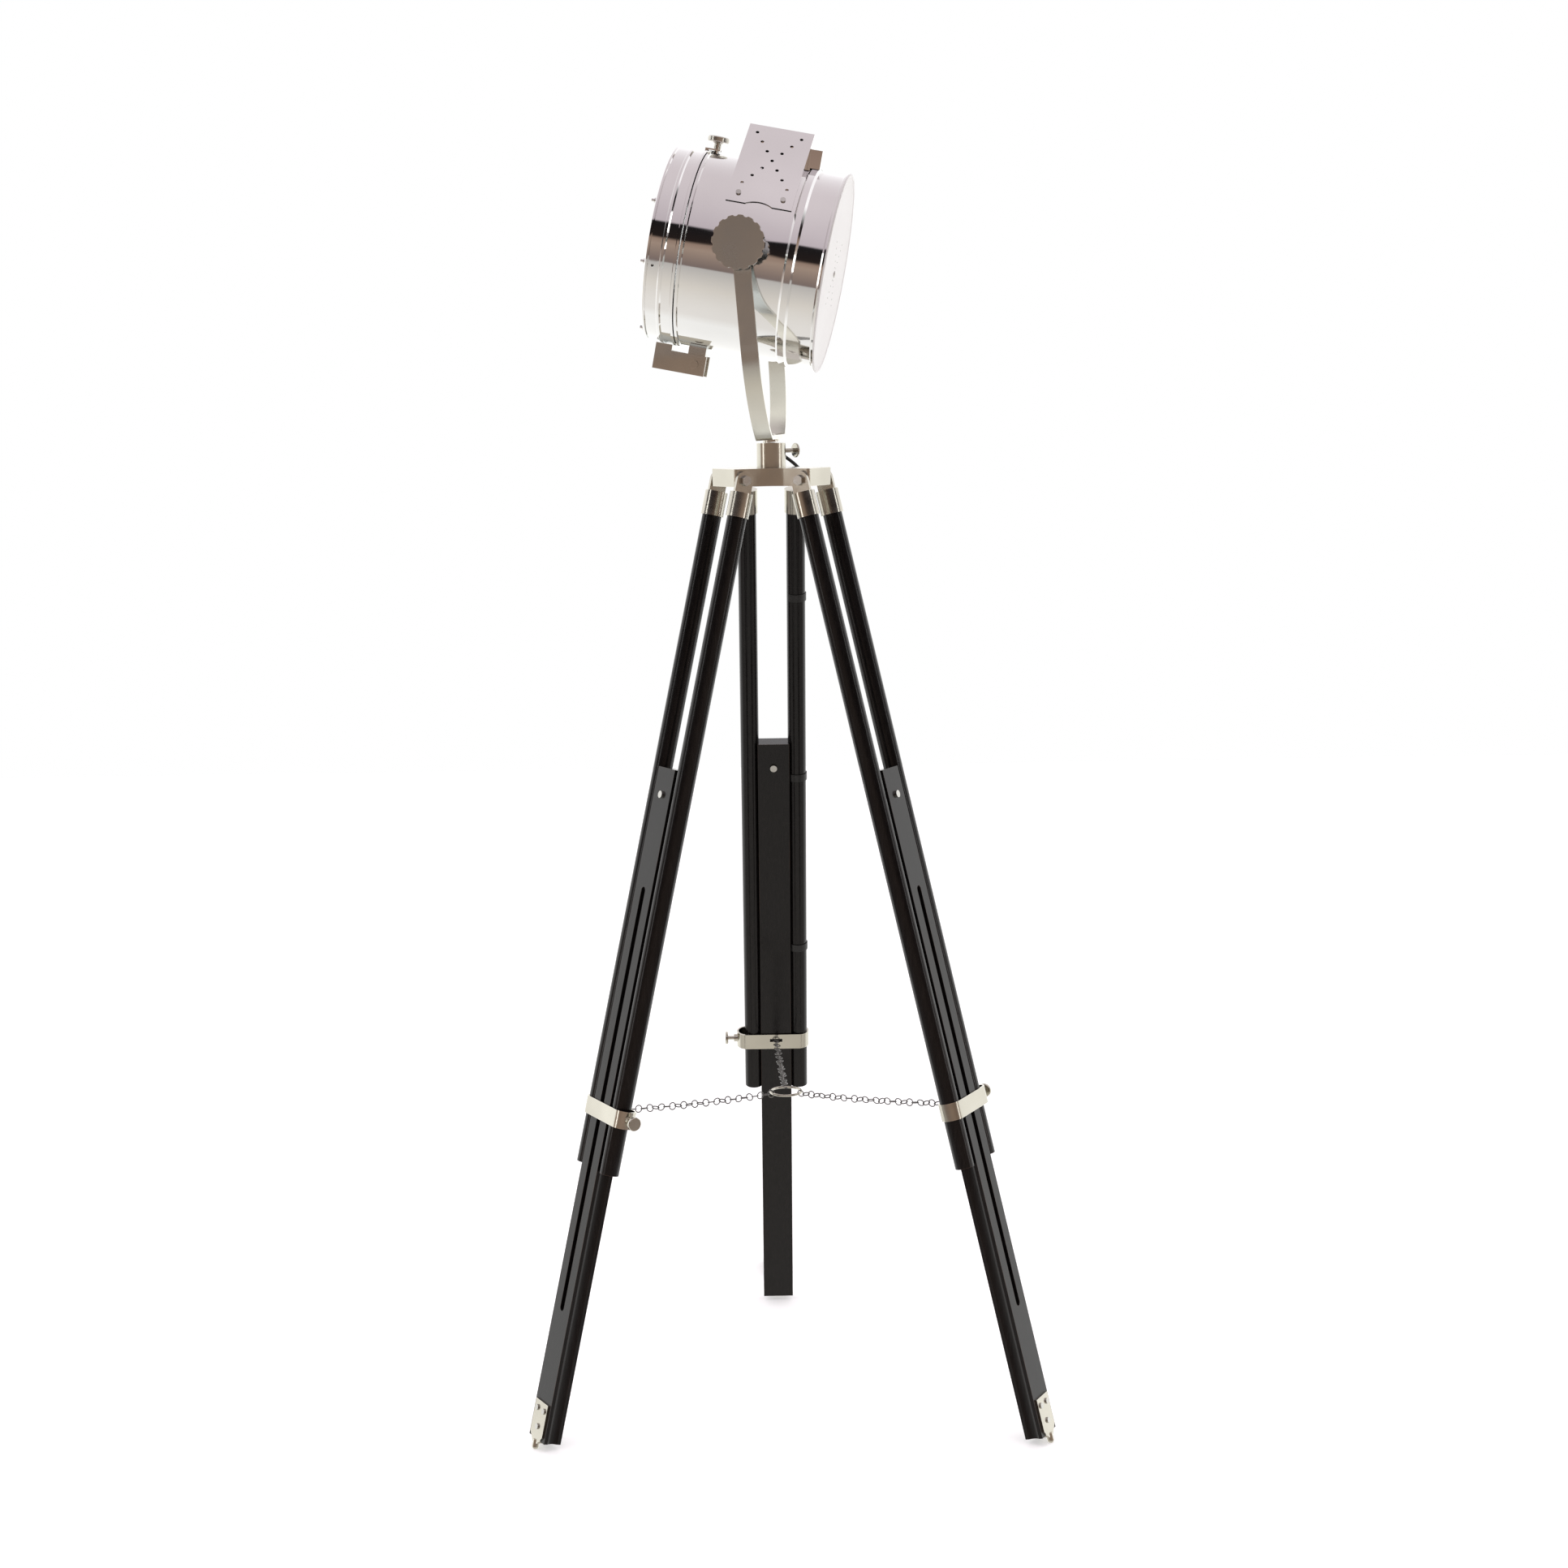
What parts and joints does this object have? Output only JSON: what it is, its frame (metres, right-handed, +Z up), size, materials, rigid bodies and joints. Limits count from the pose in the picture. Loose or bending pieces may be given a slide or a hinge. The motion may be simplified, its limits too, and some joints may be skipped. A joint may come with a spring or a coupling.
{
  "type": "tripod floor lamp",
  "caption": "Tripod floor lamp: polished drum spotlight in a forked yoke on black wooden legs that slide, clamp and fold, with spreader chains.",
  "frame": {"origin": "middle of the lamp's footprint on the floor, the mains lead and its plug left out", "axes": "+Z up, the viewer stands on the -Y side, +X to the viewer's right"},
  "size_m": [0.6098, 0.6437, 1.4969],
  "materials": {
    "head_chrome": "polished, fine wipe marks",
    "head_nickel": "brushed, warm tone",
    "stand_metal": "satin nickel",
    "fastener_steel": "satin",
    "black_wood": "black stain, satin varnish, worn brown at the edges",
    "back_white": "satin white paint",
    "lens": "clear",
    "bulb_glass": "frosted",
    "holder_black": "matte",
    "cord_black": "matte",
    "clip_black": "matte"
  },
  "bodies": {
    "stand_head": {"hub": "stand_metal", "collar": "stand_metal", "hinge_bolts": "fastener_steel", "chain_ring": "stand_metal", "cord_grommet": "cord_black"},
    "leg_left": {"poles_left": "black_wood", "ferrules_left": "stand_metal", "clamp_strap_left": "stand_metal", "chain_left": "stand_metal"},
    "board_slide_left": {"board_left": "black_wood", "guide_bolt_left": "fastener_steel", "foot_plate_left": "stand_metal", "foot_screws_left": "fastener_steel"},
    "clamp_knob_left": {"clamp_screw_left": "stand_metal"},
    "leg_right": {"poles_right": "black_wood", "ferrules_right": "stand_metal", "clamp_strap_right": "stand_metal", "chain_right": "stand_metal"},
    "board_slide_right": {"board_right": "black_wood", "guide_bolt_right": "fastener_steel", "foot_plate_right": "stand_metal", "foot_screws_right": "fastener_steel"},
    "clamp_knob_right": {"clamp_screw_right": "stand_metal"},
    "leg_back": {"poles_back": "black_wood", "ferrules_back": "stand_metal", "clamp_strap_back": "stand_metal", "chain_back": "stand_metal", "cord_lead": "cord_black", "cord_hank": "cord_black", "cord_tie": "clip_black", "plug": "cord_black", "cord_clips": "clip_black"},
    "board_slide_back": {"board_back": "black_wood", "guide_bolt_back": "fastener_steel", "foot_plate_back": "stand_metal", "foot_screws_back": "fastener_steel"},
    "clamp_knob_back": {"clamp_screw_back": "stand_metal"},
    "set_screw": {"collar_set_screw": "stand_metal"},
    "yoke": {"yoke_strap": "head_nickel", "yoke_stem": "head_nickel"},
    "knob_near": {"tilt_knob_near": "head_nickel"},
    "knob_far": {"tilt_knob_far": "head_nickel"},
    "drum": {"drum_shell": "head_chrome", "back_plate": "back_white", "back_plate_screw": "fastener_steel", "vent_base": "head_chrome", "vent_hood": "head_chrome", "vent_screws": "fastener_steel", "lamp_holder": "holder_black", "holder_bracket": "fastener_steel", "bulb": "bulb_glass", "reflector": "head_chrome", "hinge_bracket": "head_nickel", "hinge_pin": "head_nickel", "pivot_spacers": "head_nickel"},
    "door": {"door_ring": "head_chrome", "lens_glass": "lens", "lens_clips": "head_chrome", "hinge_leaf": "head_nickel"},
    "latch": {"latch_screw": "head_nickel"}
  },
  "joints": [
    {"name": "leg_fold_left", "type": "hinge", "parent": "stand_head", "child": "leg_left", "pos_m": [-0.05397, -0.0883, 1.1], "axis": [-0.5, 0.866, 0], "range_deg": [-12.5, 0], "deforming": ["chain_left"]},
    {"name": "board_travel_left", "type": "slide", "parent": "leg_left", "child": "board_slide_left", "axis": [0.2066, 0.1193, 0.9711], "range_m": [-0.33, 0.28]},
    {"name": "clamp_screw_turn_left", "type": "hinge", "parent": "leg_left", "child": "clamp_knob_left", "pos_m": [-0.18609, -0.21059, 0.38525], "axis": [0.5, -0.866, 0], "continuous": true},
    {"name": "leg_fold_right", "type": "hinge", "parent": "stand_head", "child": "leg_right", "pos_m": [0.03817, -0.0883, 1.1], "axis": [-0.5, -0.866, 0], "range_deg": [-12.5, 0], "deforming": ["chain_right"]},
    {"name": "board_travel_right", "type": "slide", "parent": "leg_right", "child": "board_slide_right", "axis": [-0.2198, 0.1269, 0.9673], "range_m": [-0.33, 0.28]},
    {"name": "clamp_screw_turn_right", "type": "hinge", "parent": "leg_right", "child": "clamp_knob_right", "pos_m": [0.21984, -0.14717, 0.38809], "axis": [0.5, 0.866, 0], "continuous": true},
    {"name": "leg_fold_back", "type": "hinge", "parent": "stand_head", "child": "leg_back", "pos_m": [-0.0079, -0.0085, 1.1], "axis": [1, 0, 0], "range_deg": [-12.5, 0], "deforming": ["chain_back", "cord_lead"]},
    {"name": "board_travel_back", "type": "slide", "parent": "leg_back", "child": "board_slide_back", "axis": [0, -0.2198, 0.9755], "range_m": [-0.33, 0.28]},
    {"name": "clamp_screw_turn_back", "type": "hinge", "parent": "leg_back", "child": "clamp_knob_back", "pos_m": [-0.04775, 0.15331, 0.38201], "axis": [-1, 0, 0], "continuous": true},
    {"name": "set_screw_turn", "type": "hinge", "parent": "stand_head", "child": "set_screw", "pos_m": [-0.00089, -0.05765, 1.132], "axis": [0.866, 0.5, 0], "continuous": true},
    {"name": "head_pan", "type": "hinge", "parent": "stand_head", "child": "yoke", "pos_m": [-0.0079, -0.0617, 1.145], "axis": [0, 0, 1], "range_deg": [-170, 170]},
    {"name": "head_tilt", "type": "hinge", "parent": "yoke", "child": "drum", "pos_m": [-0.0242, -0.05941, 1.35887], "axis": [0.1392, 0.9903, 0], "range_deg": [-90, 90]},
    {"name": "tilt_knob_turn_near", "type": "hinge", "parent": "yoke", "child": "knob_near", "pos_m": [-0.04229, -0.18815, 1.35887], "axis": [-0.1392, -0.9903, 0], "continuous": true},
    {"name": "tilt_knob_turn_far", "type": "hinge", "parent": "yoke", "child": "knob_far", "pos_m": [-0.0061, 0.06932, 1.35887], "axis": [0.1392, 0.9903, 0], "continuous": true},
    {"name": "door_swing", "type": "hinge", "parent": "drum", "child": "door", "pos_m": [-0.0928, -0.04977, 1.23094], "axis": [-0.1392, -0.9903, 0], "range_deg": [0, 100]},
    {"name": "latch_screw_turn", "type": "hinge", "parent": "drum", "child": "latch", "pos_m": [-0.0656, -0.05359, 1.46398], "axis": [0.189, -0.0266, 0.9816], "continuous": true}
  ]
}
